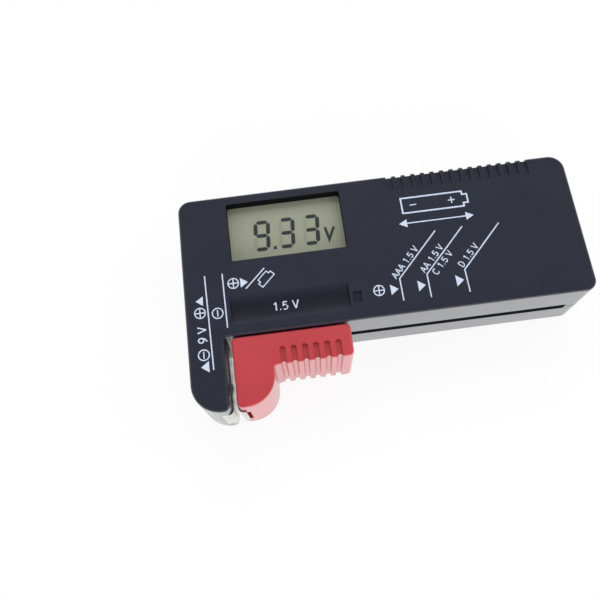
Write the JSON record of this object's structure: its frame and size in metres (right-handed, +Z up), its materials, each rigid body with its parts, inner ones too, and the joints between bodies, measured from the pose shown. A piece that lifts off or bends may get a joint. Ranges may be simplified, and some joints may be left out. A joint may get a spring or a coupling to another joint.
{
  "type": "battery tester",
  "caption": "Flat black battery tester with a display window, a fixed foot and a spring-loaded red jaw that slides along the front to grip cells by their ends.",
  "frame": {"origin": "centre of the footprint's bounding box, on the bottom face", "axes": "+X along the case from the foot's end, +Y towards the back, +Z up, out of the display's face"},
  "size_m": [0.11, 0.0608, 0.024],
  "materials": {
    "case_black": "moulded black plastic with a satin sheen",
    "slide_red": "moulded red plastic, soft gloss",
    "nickel_strip": "nickel-plated strip, bright with light wear",
    "screw_steel": "zinc-plated steel",
    "spring_steel": "drawn spring wire",
    "wiper_bronze": "phosphor bronze leaf",
    "lead_red": "red insulated lead",
    "lead_black": "black insulated lead",
    "display_glass": "polished display glass",
    "display_film": "grey-green reflector film",
    "connector_rubber": "striped conductive rubber",
    "frame_plastic": "white moulded plastic",
    "board_laminate": "green circuit board",
    "chip_epoxy": "black epoxy",
    "coil_ferrite": "grey ferrite",
    "coil_copper": "enamelled copper winding",
    "capacitor_can": "bare aluminium can",
    "resistor_body": "lacquered resistor body",
    "chip_ceramic": "black chip resistors",
    "capacitor_ceramic": "tan chip capacitors"
  },
  "bodies": {
    "case": {"top_case": "case_black", "bottom_case": "case_black", "case_screws": "screw_steel", "foot_contact": "nickel_strip", "contact_9v_positive": "nickel_strip", "contact_9v_negative": "nickel_strip", "contact_rail": "nickel_strip", "return_spring": "spring_steel", "lead_9v_positive": "lead_red", "lead_9v_negative": "lead_black", "lead_foot": "lead_black", "lead_rail": "lead_red", "lcd_front_glass": "display_glass", "lcd_rear_glass": "display_glass", "lcd_reflector": "display_film", "zebra_strip": "connector_rubber", "lcd_frame": "frame_plastic", "circuit_board": "board_laminate", "board_screws": "screw_steel", "chip_cover": "chip_epoxy", "coil_core": "coil_ferrite", "coil_winding": "coil_copper", "filter_capacitor": "capacitor_can", "load_resistor": "resistor_body", "rectifier_diode": "chip_epoxy", "chip_resistors": "chip_ceramic", "chip_capacitors": "capacitor_ceramic"},
    "slide": {"slide_arm": "slide_red", "slide_contact": "nickel_strip", "slide_wiper": "wiper_bronze", "wiper_rivet": "screw_steel"}
  },
  "joints": [
    {"name": "jaw_slide", "type": "slide", "parent": "case", "child": "slide", "axis": [1, 0, 0], "range_m": [0, 0.064], "stiffness_N_per_m": 23, "springref_m": -0.022, "deforming": ["return_spring"]}
  ]
}
